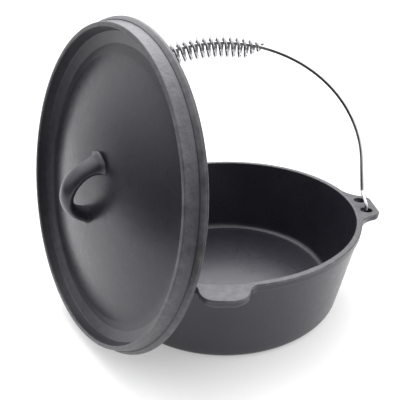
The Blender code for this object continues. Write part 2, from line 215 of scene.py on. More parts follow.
# Finishes, with linear colours
IRON_DARK = (0.0135, 0.0125, 0.0195, 1.0)
IRON_PALE = (0.0205, 0.0195, 0.0275, 1.0)
IRON_GRAIN = (0.034, 0.033, 0.041, 1.0)
# Paler colour of rubbed edges, also used as a painted highlight on the lid's crest and base band.
IRON_RUBBED_AND_HIGHLIT = (0.150, 0.149, 0.155, 1.0)
IRON_GLOSS_TINT = (0.94, 0.93, 1.0, 1.0)
PLATE_DARK = (0.46, 0.46, 0.475, 1.0)
PLATE_BRIGHT = (0.54, 0.54, 0.55, 1.0)
PAPER_DARK = (0.595, 0.595, 0.595, 1.0)
PAPER_PALE = (0.605, 0.605, 0.605, 1.0)
WHITE = (1.0, 1.0, 1.0, 1.0)
RUBBED_ROUGHNESS = 0.10  # rubbed iron is this much rougher than the seasoning

# A pale table, widening towards the back. It ends 0.42 m in front of the pot's middle, because
# the wire and the lid would mirror a larger one.
FLOOR_CORNERS = [(-0.75, -0.42), (0.95, -0.42), (95.0, 150.0), (-95.0, 150.0)]
FLOOR_GLOW = 0.38  # it is lit from within, which keeps its shadows pale
FLOOR_DROP = 0.3 * MM  # it lies this far below the pot's base

SKY_AMBIENT = 0.10  # the weak light from every side

# Studio light, as soft round panels: (towards, half angle in degrees, strength)
SKY_PANELS = [
    ((0.0, 0.0, 1.0), 60.0, 1.2),
    ((0.0, 0.7, 1.0), 42.0, 3.9),
    ((0.0, 1.0, 0.9), 36.0, 0.8),
    ((-0.7, 0.7, 0.2), 40.0, 1.1),
    ((-1.0, 0.0, 0.9), 40.0, 1.3),
    ((1.0, 0.0, 0.9), 40.0, 2.0),
    ((0.7, -0.7, 0.3), 45.0, 0.5),
]


# ---------------------------------------------------------------- meshes


def smoothstep(low, high, value):
    share = min(1.0, max(0.0, (value - low) / (high - low)))
    return share * share * (3.0 - 2.0 * share)


def part_way(low, high, share):
    return low + (high - low) * share


def arc(centre, radius, start, end, steps):
    """Points along an arc; angles in degrees."""
    points = []
    for i in range(steps + 1):
        angle = math.radians(start + (end - start) * i / steps)
        points.append((centre[0] + radius * math.cos(angle), centre[1] + radius * math.sin(angle)))
    return points


def round_corners(corners, step_degrees=12.0):
    """A profile from (r, z, rounding, mark) corners: [(r, z, mark)] with arcs at the corners; the
    mark is rubbing, on the lid partly a painted highlight.
    """
    points = []
    for i, (r, z, rounding, wear_and_highlight) in enumerate(corners):
        here = Vector((r, z))
        if rounding <= 0.0 or i in (0, len(corners) - 1):
            points.append((r, z, wear_and_highlight))
            continue
        back = (Vector(corners[i - 1][:2]) - here).normalized()
        ahead = (Vector(corners[i + 1][:2]) - here).normalized()
        half = 0.5 * back.angle(ahead)
        centre = here + (back + ahead).normalized() * (rounding / math.sin(half))
        first = here + back * (rounding / math.tan(half)) - centre
        last = here + ahead * (rounding / math.tan(half)) - centre
        turn = first.angle_signed(last)
        steps = max(2, int(math.degrees(abs(turn)) / step_degrees))
        for k in range(steps + 1):
            spoke = Matrix.Rotation(-turn * k / steps, 2) @ first
            points.append((centre.x + spoke.x, centre.y + spoke.y, wear_and_highlight))
    return points


def fill_straights(points, longest):
    """Adds points so that no stretch of a (r, z, wear) profile is longer than longest."""
    filled = [points[0]]
    for before, here in zip(points, points[1:]):
        length = math.hypot(here[0] - before[0], here[1] - before[1])
        count = max(1, math.ceil(length / longest))
        for k in range(1, count + 1):
            share = k / count
            filled.append(tuple(a + (b - a) * share for a, b in zip(before, here)))
    return filled


def new_object(name, mesh, body, nodes, material):
    obj = bpy.data.objects.new(name, mesh)
    bpy.context.scene.collection.objects.link(obj)
    mesh.materials.clear()
    mesh.materials.append(material)
    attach(obj, body)
    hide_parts(*nodes)
    return obj


def add_mask(mesh, name, values):
    layer = mesh.attributes.new(name, "FLOAT", "POINT")
    layer.data.foreach_set("value", values)


def skin(name, loops, wear_and_highlight, start=None, end=None):
    """A mesh through a stack of closed loops of equal length, with a point closing each end.

    Each loop's mark of rubbing, with painted highlight on the lid, is one number, or a list with one
    for each of its points.
    """
    count = len(loops[0])
    vertices = [point for loop in loops for point in loop]
    marks = []
    for value in wear_and_highlight:
        marks += value if isinstance(value, list) else [value] * count
    first_mark = marks[0]
    last_mark = marks[-1]
    faces = []
    for k in range(len(loops) - 1):
        low = k * count
        high = low + count
        for i in range(count):
            j = (i + 1) % count
            faces.append((low + i, low + j, high + j, high + i))
    if start is not None:
        vertices.append(start)
        marks.append(first_mark)
        tip = len(vertices) - 1
        for i in range(count):
            faces.append((tip, (i + 1) % count, i))
    if end is not None:
        vertices.append(end)
        marks.append(last_mark)
        tip = len(vertices) - 1
        low = (len(loops) - 1) * count
        for i in range(count):
            faces.append((tip, low + i, low + (i + 1) % count))
    mesh = bpy.data.meshes.new(name)
    mesh.from_pydata(vertices, [], faces)
    add_mask(mesh, "wear_and_highlight", marks)
    bm = bmesh.new()
    bm.from_mesh(mesh)
    bmesh.ops.recalc_face_normals(bm, faces=bm.faces)
    bm.to_mesh(mesh)
    bm.free()
    mesh.shade_smooth()
    return mesh


def ripple(mesh, height, wavelength, seed):
    """Moves the surface in and out a little, as a cast or bent piece is never quite true."""
    shift = Vector((seed * 3.1, seed * 5.7, seed * 2.3))
    moved = []
    for vertex in mesh.vertices:
        swing = noise.noise(vertex.co / wavelength + shift)
        moved.append(vertex.co + vertex.normal * (height * swing))
    for vertex, place in zip(mesh.vertices, moved):
        vertex.co = place


def even_normals(obj):
    """Wide faces keep their own normal and the narrow ones at the edges turn between them."""
    modifier = obj.modifiers.new("even_normals", "WEIGHTED_NORMAL")
    modifier.weight = NORMAL_WEIGHT
    modifier.keep_sharp = True


# ---------------------------------------------------------------- pot


def lug_edge(tip, corner, flare, flare_angle, spacing):
    """Half the plan edge of an ear or the lip, from the rim circle to the tip's middle."""
    flare_centre = Vector((math.cos(flare_angle), math.sin(flare_angle))) * (RIM_RADIUS + flare)
    corner_x = tip - corner
    drop = math.sqrt((flare + corner) ** 2 - (flare_centre.x - corner_x) ** 2)
    corner_centre = Vector((corner_x, flare_centre.y - drop))
    between = corner_centre - flare_centre
    join = math.degrees(math.atan2(between.y, between.x))
    start = math.degrees(flare_angle) - 180.0
    flare_steps = max(6, int(flare * math.radians(abs(join - start)) / spacing))
    corner_steps = max(6, int(corner * math.radians(join + 180.0) / spacing))
    points = arc(flare_centre, flare, start, join, flare_steps)
    points += arc(corner_centre, corner, join + 180.0, 0.0, corner_steps)[1:]
    straight_steps = max(2, int(corner_centre.y / spacing))
    for k in range(1, straight_steps + 1):
        points.append((tip, corner_centre.y * (1.0 - k / straight_steps)))
    return points


def rim_edge():
    """The rim's plan edge, ears and lip included, anticlockwise from the right ear."""
    ear = lug_edge(EAR_TIP, EAR_CORNER, EAR_FLARE, EAR_FLARE_ANGLE, EAR_SPACING)
    lip = lug_edge(LIP_TIP, LIP_CORNER, LIP_FLARE, LIP_FLARE_ANGLE, LIP_SPACING)
    lugs = [
        (0.0, EAR_FLARE_ANGLE, ear),
        (math.pi, EAR_FLARE_ANGLE, ear),
        (2.0 * math.pi + LIP_AZIMUTH, LIP_FLARE_ANGLE, lip),
        (2.0 * math.pi, EAR_FLARE_ANGLE, ear),
    ]
    edge = []
    for (azimuth, half_angle, half), following in zip(lugs, lugs[1:]):
        whole = [(x, -y) for x, y in half] + [(x, y) for x, y in reversed(half)][1:]
        cos, sin = math.cos(azimuth), math.sin(azimuth)
        edge += [Vector((x * cos - y * sin, x * sin + y * cos)) for x, y in whole]
        first = azimuth + half_angle
        last = following[0] - following[1]
        steps = int((last - first) * RIM_RADIUS / RIM_SPACING)
        for k in range(1, steps):
            angle = first + (last - first) * k / steps
            edge.append(Vector((math.cos(angle), math.sin(angle))) * RIM_RADIUS)
    return edge


def inward_normals(edge):
    normals = []
    for i, here in enumerate(edge):
        along = edge[(i + 1) % len(edge)] - edge[i - 1]
        normals.append(Vector((-along.y, along.x)).normalized())
    return normals


def channel_share(point):
    """1 on the bottom of the pouring channel, 0 beside it."""
    across = abs(-point.x * math.sin(LIP_AZIMUTH) + point.y * math.cos(LIP_AZIMUTH))
    along = point.x * math.cos(LIP_AZIMUTH) + point.y * math.sin(LIP_AZIMUTH)
    if along < 0.0:
        return 0.0
    return 1.0 - smoothstep(CHANNEL_FLAT, CHANNEL_EDGE, across)


def rim_top(point):
    """Height of the rim's top face at a plan point."""
    along = point.x * math.cos(LIP_AZIMUTH) + point.y * math.sin(LIP_AZIMUTH)
    share = (along - RIM_INNER_RADIUS) / (LIP_TIP - RIM_INNER_RADIUS)
    depth = part_way(CHANNEL_DEPTH_INSIDE, CHANNEL_DEPTH_AT_LIP, share)
    return RIM_HEIGHT - depth * channel_share(point)


def outer_wall_radius(z):
    foot = arc((WALL_FOOT_RADIUS - BASE_CORNER, BASE_CORNER), BASE_CORNER, -WALL_LEAN, -90.0, 1)[0]
    share = (z - foot[1]) / (WALL_TOP_HEIGHT - foot[1])
    return part_way(foot[0], WALL_TOP_RADIUS, share)


def inner_wall_radius(z):
    centre = (FLOOR_WALL_RADIUS - FLOOR_CORNER, FLOOR_THICKNESS + FLOOR_CORNER)
    foot = arc(centre, FLOOR_CORNER, -90.0, -WALL_LEAN, 1)[1]
    share = (z - foot[1]) / (RIM_HEIGHT - INNER_ROUNDING - foot[1])
    return part_way(foot[0], RIM_INNER_RADIUS, share)


def pot_column(edge_point, inward):
    """One upright section of the pot, [(x, y, z, wear)] from the floor's middle to the base's."""
    radial = edge_point.normalized()
    section = []

    def at_radius(r, z, wear_and_highlight=0.0):
        section.append((radial.x * r, radial.y * r, z, wear_and_highlight))

    def at_offset(offset, z, wear_and_highlight=0.0):
        place = edge_point + inward * offset
        section.append((place.x, place.y, z, wear_and_highlight))

    for r in FLOOR_RINGS:
        at_radius(r * MM, FLOOR_THICKNESS)
    centre = (FLOOR_WALL_RADIUS - FLOOR_CORNER, FLOOR_THICKNESS + FLOOR_CORNER)
    fillet = arc(centre, FLOOR_CORNER, -90.0, -WALL_LEAN, BOTTOM_CORNER_STEPS)
    for r, z in fillet:
        at_radius(r, z)

    inner_point = radial * RIM_INNER_RADIUS
    pouring = channel_share(inner_point)
    rounding = part_way(INNER_ROUNDING, POURING_ROUNDING, pouring)
    inner_top = rim_top(inner_point)
    wall_end = inner_top - rounding
    foot_z = fillet[-1][1]
    for k in range(1, INNER_WALL_STEPS + 1):
        z = foot_z + (wall_end - foot_z) * k / INNER_WALL_STEPS
        at_radius(inner_wall_radius(z), z)
    wall_r = inner_wall_radius(wall_end)
    edge_wear = part_way(INNER_EDGE_WEAR, INNER_EDGE_WEAR_POURING, pouring)
    for r, z in arc((wall_r + rounding, wall_end), rounding, 180.0, 90.0, INNER_EDGE_STEPS)[1:]:
        at_radius(r, z, edge_wear)

    outer_point = edge_point + inward * TOP_ROUNDING
    face_start = radial * (wall_r + rounding)
    face_wear = part_way(RIM_FACE_WEAR, RIM_FACE_WEAR_POURING, pouring)
    for k in range(1, RIM_FACE_STEPS):
        place = face_start.lerp(outer_point, k / RIM_FACE_STEPS)
        section.append((place.x, place.y, rim_top(place), face_wear))
    outer_top = rim_top(outer_point)
    quarter = [math.radians(90.0 * k / BAND_EDGE_STEPS) for k in range(BAND_EDGE_STEPS + 1)]
    for angle in quarter:
        offset = TOP_ROUNDING * (1.0 - math.sin(angle))
        z = outer_top - TOP_ROUNDING * (1.0 - math.cos(angle))
        at_offset(offset, z, OUTER_EDGE_WEAR)

    standing_out = smoothstep(0.0, LUG_BLEND, edge_point.length - RIM_RADIUS)
    foot_rounding = part_way(FOOT_ROUNDING, LUG_FOOT_ROUNDING, standing_out)
    band_foot = RIM_HEIGHT - BAND_HEIGHT
    face_top = outer_top - TOP_ROUNDING
    for k in range(1, BAND_FACE_STEPS):
        z = face_top + (band_foot + foot_rounding - face_top) * k / BAND_FACE_STEPS
        at_offset(BAND_DRAFT * k / BAND_FACE_STEPS, z)
    for angle in quarter:
        offset = BAND_DRAFT + foot_rounding * (1.0 - math.cos(angle))
        z = band_foot + foot_rounding * (1.0 - math.sin(angle))
        at_offset(offset, z, BAND_FOOT_WEAR)

    hollow = part_way(BAND_FILLET, UNDERSIDE_FILLET, standing_out)
    wall_top = band_foot - hollow
    wall_top_r = outer_wall_radius(wall_top)
    under_start = edge_point + inward * (BAND_DRAFT + foot_rounding)
    under_end = radial * (wall_top_r + hollow)
    for k in range(1, UNDERSIDE_STEPS):
        place = under_start.lerp(under_end, k / UNDERSIDE_STEPS)
        section.append((place.x, place.y, band_foot, 0.0))
    wall_join = (wall_top_r + hollow, wall_top)
    for r, z in arc(wall_join, hollow, 90.0, 180.0, UNDERSIDE_FILLET_STEPS):
        at_radius(r, z)

    corner = (WALL_FOOT_RADIUS - BASE_CORNER, BASE_CORNER)
    bottom = arc(corner, BASE_CORNER, -WALL_LEAN, -90.0, BOTTOM_CORNER_STEPS)
    for k in range(1, OUTER_WALL_STEPS):
        z = wall_top + (bottom[0][1] - wall_top) * k / OUTER_WALL_STEPS
        at_radius(outer_wall_radius(z), z)
    for r, z in bottom:
        at_radius(r, z, BASE_CORNER_WEAR)
    for r in BASE_RINGS:
        at_radius(r * MM, 0.0)
    return section


def ear_hole_cutter():
    """All four ear holes in one object, each with rounded edges."""
    top = RIM_HEIGHT
    foot = RIM_HEIGHT - BAND_HEIGHT
    wide = HOLE_RADIUS + HOLE_EDGE
    profile = [(wide + CUTTER_STEP, top + CUTTER_REACH)]
    profile += arc((wide, top - HOLE_EDGE), HOLE_EDGE, 90.0, 180.0, 6)
    profile += arc((wide, foot + HOLE_EDGE), HOLE_EDGE, 180.0, 270.0, 6)
    profile.append((wide + CUTTER_STEP, foot - CUTTER_REACH))
    bm = bmesh.new()
    for x_side in (1, -1):
        for y_side in (1, -1):
            middle = Vector((x_side * HOLE_REACH, y_side * HOLE_SPACING, 0.0))
            rings = []
            for r, z in profile:
                ring = []
                for i in range(HOLE_SIDES):
                    angle = 2.0 * math.pi * i / HOLE_SIDES
                    spot = Vector((r * math.cos(angle), r * math.sin(angle), z))
                    ring.append(bm.verts.new(middle + spot))
                rings.append(ring)
            for upper, lower in zip(rings, rings[1:]):
                for i in range(HOLE_SIDES):
                    j = (i + 1) % HOLE_SIDES
                    bm.faces.new((upper[i], upper[j], lower[j], lower[i]))
            bm.faces.new(rings[0])
            bm.faces.new(list(reversed(rings[-1])))
    bmesh.ops.recalc_face_normals(bm, faces=bm.faces)
    mesh = bpy.data.meshes.new("ear_holes")
    bm.to_mesh(mesh)
    bm.free()
    mesh.shade_smooth()
    cutter = bpy.data.objects.new("ear_holes", mesh)
    bpy.context.scene.collection.objects.link(cutter)
    return cutter


def cut_away(mesh, cutter):
    """The mesh with the cutter's volume taken out; the cutter is removed."""
    whole = bpy.data.objects.new("whole", mesh)
    bpy.context.scene.collection.objects.link(whole)
    modifier = whole.modifiers.new("cut", "BOOLEAN")
    modifier.operation = "DIFFERENCE"
    modifier.solver = "EXACT"
    modifier.object = cutter
    bpy.context.view_layer.update()
    depsgraph = bpy.context.evaluated_depsgraph_get()
    cut = bpy.data.meshes.new_from_object(whole.evaluated_get(depsgraph))
    bpy.data.objects.remove(whole, do_unlink=True)
    bpy.data.objects.remove(cutter, do_unlink=True)
    return cut


def make_pot(iron):
    edge = rim_edge()
    normals = inward_normals(edge)
    columns = [pot_column(point, normal) for point, normal in zip(edge, normals)]
    loops = []
    wear_and_highlight = []
    for level in range(len(columns[0])):
        loops.append([column[level][:3] for column in columns])
        wear_and_highlight.append([column[level][3] for column in columns])
    mesh = skin("pot_casting", loops, wear_and_highlight, (0.0, 0.0, FLOOR_THICKNESS), (0.0, 0.0, 0.0))
    mesh = cut_away(mesh, ear_hole_cutter())
    add_mask(mesh, "sand", [0.0] * len(mesh.vertices))
    pot = new_object("pot_casting", mesh, "pot", ["pot_body"], iron)
    even_normals(pot)


# ---------------------------------------------------------------- lid


def dome_height(r):
    share = max(0.0, 1.0 - (r / TROUGH_RADIUS) ** DOME_FULLNESS)
    return TROUGH_HEIGHT + (DOME_HEIGHT - TROUGH_HEIGHT) * share**DOME_EDGE


def lid_profile():
    """[(r, z, mark)] from near the middle of the dome, over the rim and back underneath; the mark is
    rubbing, and on the crest and the base band also a painted highlight.
    """
    rings = [LID_RING_SPACING * (k + 1) for k in range(LID_RINGS)]
    corners = [(r * MM, dome_height(r * MM), 0.0, 0.0) for r in rings]
    corners += [
        (131.0 * MM, 0.4 * MM, 1.6 * MM, 0.3),
        (140.3 * MM, 4.9 * MM, 0.6 * MM, 0.3),
        (141.1 * MM, 13.4 * MM, 0.3 * MM, 0.0),
        # The crest and the base band are made paler all round: partly rubbed edges, partly a painted
        # highlight standing in for light falling from above.
        (141.3 * MM, 15.35 * MM, 0.95 * MM, 0.9),
        (144.9 * MM, 15.35 * MM, 1.2 * MM, 1.0),
        (148.3 * MM, 5.3 * MM, 0.35 * MM, 0.35),
        (148.6 * MM, 4.9 * MM, 0.25 * MM, 0.0),
        (149.1 * MM, 5.1 * MM, 0.3 * MM, 0.6),
        (152.05 * MM, 2.7 * MM, 1.2 * MM, 1.0),
        (LID_RADIUS, 0.9 * MM, 0.8 * MM, 0.5),
        (152.3 * MM, 0.0, 0.3 * MM, 0.4),
        (142.5 * MM, 0.0, 0.8 * MM, 0.0),
        (141.8 * MM, -4.6 * MM, 1.3 * MM, 0.4),
        (131.6 * MM, -4.6 * MM, 1.6 * MM, 0.3),
        (127.4 * MM, -4.0 * MM, 2.0 * MM, 0.0),
    ]
    points = fill_straights(round_corners(corners), LID_RING_SPACING * MM)
    for r in reversed(rings):
        points.append((r * MM, dome_height(r * MM) - LID_THICKNESS, 0.0))
    return points


def lid_place():
    """The lid's frame: +Z along the way its top face looks, +X down along the face."""
    outward = Vector((math.cos(LEAN_AZIMUTH), math.sin(LEAN_AZIMUTH), 0.0))
    sideways = Vector((-outward.y, outward.x, 0.0))
    centre = outward * LID_REACH + sideways * LID_SIDEWAYS
    centre.z = LID_STANDING_RADIUS * math.cos(LEAN) + LID_GROUND_GAP
    turn = Matrix.Rotation(LEAN_AZIMUTH, 4, "Z") @ Matrix.Rotation(math.radians(90.0) - LEAN, 4, "Y")
    return Matrix.Translation(centre) @ turn


def make_lid(iron):
    profile = lid_profile()
    turns = [2.0 * math.pi * i / LID_COLUMNS for i in range(LID_COLUMNS)]
    loops = [[(r * math.cos(a), r * math.sin(a), z) for a in turns] for r, z, _ in profile]
    wear_and_highlight = [mark for _, _, mark in profile]
    underside = DOME_HEIGHT - LID_THICKNESS
    mesh = skin("lid_casting", loops, wear_and_highlight, (0.0, 0.0, DOME_HEIGHT), (0.0, 0.0, underside))
    sand = []
    for vertex in mesh.vertices:
        r = math.hypot(vertex.co.x, vertex.co.y)
        rough = smoothstep(*CREST_SAND_START, r) * (1.0 - smoothstep(*CREST_SAND_END, r))
        sand.append(rough if vertex.co.z > CREST_SAND_FOOT else 0.0)
    add_mask(mesh, "sand", sand)
    mesh.transform(lid_place())
    lid = new_object("lid_casting", mesh, "lid", ["lid"], iron)
    even_normals(lid)


def loop_section_growth(height, angle):
    """How much wider the bar gets towards the dome, a little ragged where it meets it."""
    share = max(0.0, 1.0 - height / LOOP_FLARE_HEIGHT)
    low = max(0.0, 1.0 - height / LOOP_SEAM_HEIGHT)
    across = LOOP_RAGGED_SCALE * math.cos(angle)
    up = LOOP_RAGGED_SCALE * math.sin(angle)
    ragged = noise.noise(Vector((across, up, LOOP_RAGGED_PLACE)))
    return LOOP_FOOT * share * share + LOOP_SEAM * low * low * (1.0 + LOOP_RAGGED * ragged)


def make_loop(iron):
    foot_level = dome_height(LOOP_HALF_SPAN * LOOP_FOOT_REACH)
    start = math.asin((foot_level - LOOP_SINK - LOOP_CENTRE_HEIGHT) / LOOP_RISE)
    loops = []
    wear_and_highlight = []
    for i in range(LOOP_STEPS + 1):
        share = i / LOOP_STEPS
        eased = share - LOOP_GATHER * math.sin(4.0 * math.pi * share) / (2.0 * math.pi)
        angle = start + (math.pi - 2.0 * start) * eased
        lower = smoothstep(0.0, 1.0, -math.cos(angle))
        flare = 1.0 - (1.0 - LOOP_LOWER_FLARE) * lower
        reach = LOOP_HALF_SPAN * (1.0 - LOOP_LOWER_TUCK * lower)
        middle = Vector((reach * math.cos(angle), 0.0, 0.0))
        middle.z = LOOP_CENTRE_HEIGHT + LOOP_RISE * math.sin(angle)
        out = Vector((LOOP_RISE * math.cos(angle), 0.0, reach * math.sin(angle)))
        out.normalize()
        height = middle.z - foot_level
        ring = []
        for k in range(LOOP_SIDES):
            turn = 2.0 * math.pi * k / LOOP_SIDES
            scale = 1.0 + flare * loop_section_growth(max(0.0, height), turn)
            flat = out * (LOOP_THICKNESS * scale * math.cos(turn))
            side = LOOP_WIDTH * (0.5 + 0.5 * scale) * math.sin(turn)
            ring.append(middle + flat + Vector((0.0, side, 0.0)))
        loops.append(ring)
        at_foot = 1.0 - smoothstep(0.0, LOOP_FOOT_WEAR_HEIGHT, height)
        wear_and_highlight.append(LOOP_WEAR + LOOP_FOOT_WEAR * at_foot)
    ends = []
    for ring in (loops[0], loops[-1]):
        ends.append(sum(ring, Vector()) / len(ring))
    mesh = skin("loop_handle", loops, wear_and_highlight, ends[0], ends[1])
    ripple(mesh, LOOP_RIPPLE, LOOP_RIPPLE_LENGTH, seed=3)
    add_mask(mesh, "sand", [LOOP_SAND] * len(mesh.vertices))
    mesh.transform(Matrix.Rotation(LOOP_TURN, 4, "Z"))
    mesh.transform(lid_place())
    new_object("loop_handle", mesh, "lid", ["lid_loop"], iron)


# ---------------------------------------------------------------- bail


def sweep(name, path, radius, sides):
    """A round wire along a path, with domed ends."""
    tangents = []
    for i in range(len(path)):
        ahead = path[min(i + 1, len(path) - 1)]
        behind = path[max(i - 1, 0)]
        tangents.append((ahead - behind).normalized())
    normal = tangents[0].orthogonal().normalized()
    rings = []
    for i, (middle, tangent) in enumerate(zip(path, tangents)):
        normal = (normal - tangent * normal.dot(tangent)).normalized()
        rings.append((middle, tangent, normal.copy(), radius))
    domed = []
    for angle in (75.0, 50.0, 25.0):
        lift = radius * math.sin(math.radians(angle))
        width = radius * math.cos(math.radians(angle))
        domed.append((lift, width))
    first, last = rings[0], rings[-1]
    head = [(first[0] - first[1] * lift, first[1], first[2], width) for lift, width in domed]
    tail = [(last[0] + last[1] * lift, last[1], last[2], width) for lift, width in reversed(domed)]
    loops = []
    for middle, tangent, side, size in head + rings + tail:
        other = tangent.cross(side)
        ring = []
        for k in range(sides):
            turn = 2.0 * math.pi * k / sides
            ring.append(middle + (side * math.cos(turn) + other * math.sin(turn)) * size)
        loops.append(ring)
    start = first[0] - first[1] * radius
    end = last[0] + last[1] * radius
    return skin(name, loops, [0.0] * len(loops), start, end)


def arch_point(angle):
    return Vector(
        (BAIL_HALF_WIDTH * math.cos(angle), 0.0, BAIL_LEG + BAIL_RISE * math.sin(angle))
    )


def eye_points(x):
    """One hooked end: from the tip, under the web, and up to where the leg runs straight."""
    leave = math.acos(EYE_RADIUS / EYE_KINK)
    sweep_angle = 2.0 * math.pi - leave - EYE_END_ANGLE
    points = []
    for i in range(EYE_STEPS + 1):
        angle = EYE_END_ANGLE + sweep_angle * i / EYE_STEPS
        points.append((EYE_RADIUS * math.sin(angle), EYE_RADIUS * math.cos(angle)))
    corners = [
        (*points[-1], 0.0, 0.0),
        (0.0, EYE_KINK, EYE_KINK_ROUNDING, 0.0),
        (0.0, BAIL_LEG, 0.0, 0.0),
    ]
    leg = fill_straights(round_corners(corners, KINK_STEP), LEG_SPACING)
    points += [(y, z) for y, z, _ in leg[1:]]
    return [Vector((x, y, z)) for y, z in points]


def bail_path():
    right = eye_points(BAIL_HALF_WIDTH)
    arch = [arch_point(math.pi * i / ARCH_STEPS) for i in range(1, ARCH_STEPS)]
    left = [Vector((-point.x, point.y, point.z)) for point in reversed(right)]
    return right + arch + left


def grip_path():
    """A helix about the bail's arch, its radius drawn in towards both ends."""
    stations = [(0.0, 0.0)]
    travelled = 0.0
    before = arch_point(0.0)
    for i in range(1, GRIP_STATIONS + 1):
        angle = math.pi * i / GRIP_STATIONS
        here = arch_point(angle)
        travelled += (here - before).length
        stations.append((travelled, angle))
        before = here
    start = min(stations, key=lambda s: abs(arch_point(s[1]).x - GRIP_RIGHT_END))[0]
    end = min(stations, key=lambda s: abs(arch_point(s[1]).x - GRIP_LEFT_END))[0]
    turns = round((end - start) / GRIP_PITCH * GRIP_COUNT_STEP) / GRIP_COUNT_STEP
    count = int(turns * GRIP_STEPS_PER_TURN)
    down = Vector((0.0, math.sin(BAIL_TILT), -math.cos(BAIL_TILT)))
    points = []
    nearest = 0
    for i in range(count + 1):
        distance = start + (end - start) * i / count
        while stations[nearest][0] < distance:
            nearest += 1
        angle = stations[nearest][1]
        centre = arch_point(angle)
        outward = Vector((BAIL_RISE * math.cos(angle), 0.0, BAIL_HALF_WIDTH * math.sin(angle)))
        outward.normalize()
        from_end = min(distance - start, end - distance)
        smooth = smoothstep(0.0, GRIP_TAPER, from_end)
        radius = part_way(GRIP_END_RADIUS, GRIP_COIL_RADIUS, smooth)
        turn = 2.0 * math.pi * turns * i / count
        offset = outward * (radius * math.cos(turn))
        offset.y = radius * math.sin(turn)
        points.append(centre + offset + down * (GRIP_SAG * smooth))
    return points


def make_bail(chrome):
    lean = Matrix.Translation((0.0, 0.0, HINGE_HEIGHT)) @ Matrix.Rotation(-BAIL_TILT, 4, "X")
    rod = sweep("bail_rod", bail_path(), BAIL_WIRE_RADIUS, BAIL_SIDES)
    rod.transform(lean)
    new_object("bail_rod", rod, "bail", ["bail_wire"], chrome)
    coil = sweep("coil_grip", grip_path(), GRIP_WIRE_RADIUS, GRIP_SIDES)
    coil.transform(lean)
    new_object("coil_grip", coil, "bail", ["spring_grip"], chrome)


# ---------------------------------------------------------------- materials


def add_node(tree, kind, settings=None, inputs=None):
    """A node with its settings, and its inputs set to values or linked to sockets."""
    made = tree.nodes.new(kind)
    for key, value in (settings or {}).items():
        setattr(made, key, value)
    for key, value in (inputs or {}).items():
        if isinstance(value, bpy.types.NodeSocket):
            tree.links.new(value, made.inputs[key])
        else:
            made.inputs[key].default_value = value
    return made


def new_material(name):
    material = bpy.data.materials.new(name)
    material.use_nodes = True
    return material, material.node_tree, material.node_tree.nodes["Principled BSDF"]


def noise_field(tree, coords, scale, detail, roughness=0.55):
    inputs = {"Vector": coords, "Scale": scale, "Detail": detail, "Roughness": roughness}
    return add_node(tree, "ShaderNodeTexNoise", None, inputs).outputs["Fac"]


def spread(tree, value, low, high, to_low, to_high):
    """Maps a field's useful range onto another range."""
    inputs = {
        "Value": value,
        "From Min": low,
        "From Max": high,
        "To Min": to_low,
        "To Max": to_high,
    }
    return add_node(tree, "ShaderNodeMapRange", {"clamp": True}, inputs).outputs["Result"]


def math_node(tree, operation, first, second):
    made = add_node(tree, "ShaderNodeMath", {"operation": operation})
    for socket, value in zip(made.inputs, (first, second)):
        if isinstance(value, bpy.types.NodeSocket):
            tree.links.new(value, socket)
        else:
            socket.default_value = value
    return made.outputs[0]


def mix_colours(tree, factor, first, second):
    made = add_node(tree, "ShaderNodeMix", {"data_type": "RGBA"})
    sockets = [s for s in made.inputs if s.type == "RGBA"]
    tree.links.new(factor, made.inputs["Factor"])
    for socket, value in zip(sockets, (first, second)):
        if isinstance(value, bpy.types.NodeSocket):
            tree.links.new(value, socket)
        else:
            socket.default_value = value
    return next(s for s in made.outputs if s.type == "RGBA")


def bump(tree, height, strength, distance, under=None):
    inputs = {"Strength": strength, "Distance": distance, "Height": height}
    if under is not None:
        inputs["Normal"] = under
    return add_node(tree, "ShaderNodeBump", None, inputs).outputs["Normal"]


def mask(tree, name):
    return add_node(tree, "ShaderNodeAttribute", {"attribute_name": name}).outputs["Fac"]


def iron_material():
    """Seasoned cast iron: near black and satin, with sand grain and lighter rubbed edges, which on
    the lid's crest and base band are partly a painted highlight.
    """
    material, tree, shader = new_material("seasoned_iron_skin")
    coords = add_node(tree, "ShaderNodeTexCoord").outputs["Object"]
    clouds = noise_field(tree, coords, 22.0, 4.0)
    mottle = noise_field(tree, coords, 140.0, 3.0)
    grain = noise_field(tree, coords, 620.0, 4.0, 0.65)
    fine = noise_field(tree, coords, 1900.0, 2.0)
    wear_and_highlight = mask(tree, "wear_and_highlight")
    sand = mask(tree, "sand")

    patch_share = spread(tree, clouds, 0.35, 0.68, 0.0, 1.0)
    patches = mix_colours(tree, patch_share, IRON_DARK, IRON_PALE)
    grain_share = spread(tree, grain, 0.40, 0.72, 0.0, 0.55)
    speckled = mix_colours(tree, grain_share, patches, IRON_GRAIN)
    # Paler where rubbed; on the lid's crest and base band this paleness is partly a painted
    # highlight.
    rubbed_and_highlit_share = math_node(tree, "MULTIPLY", wear_and_highlight, spread(tree, mottle, 0.30, 0.70, 0.25, 0.75))
    rubbed_and_highlit = mix_colours(tree, rubbed_and_highlit_share, speckled, IRON_RUBBED_AND_HIGHLIT)
    tree.links.new(rubbed_and_highlit, shader.inputs["Base Color"])

    shader.inputs["Specular IOR Level"].default_value = 0.55
    shader.inputs["Specular Tint"].default_value = IRON_GLOSS_TINT
    satin = spread(tree, mottle, 0.3, 0.7, 0.27, 0.33)
    rubbed = math_node(tree, "MULTIPLY", wear_and_highlight, RUBBED_ROUGHNESS)
    satin = math_node(tree, "ADD", satin, rubbed)
    tree.links.new(satin, shader.inputs["Roughness"])

    swell = bump(tree, noise_field(tree, coords, 48.0, 2.0), 0.22, 0.7 * MM)
    skin_normal = bump(tree, mottle, 0.16, 0.4 * MM, swell)
    grained = bump(tree, grain, 0.25, 0.12 * MM, skin_normal)
    pitted = bump(tree, fine, 0.25, 0.05 * MM, grained)
    coarse = noise_field(tree, coords, 330.0, 5.0, 0.7)
    coarse_height = math_node(tree, "MULTIPLY", coarse, sand)
    rough_cast = bump(tree, coarse_height, 0.8, 0.55 * MM, pitted)
    tree.links.new(rough_cast, shader.inputs["Normal"])
    return material


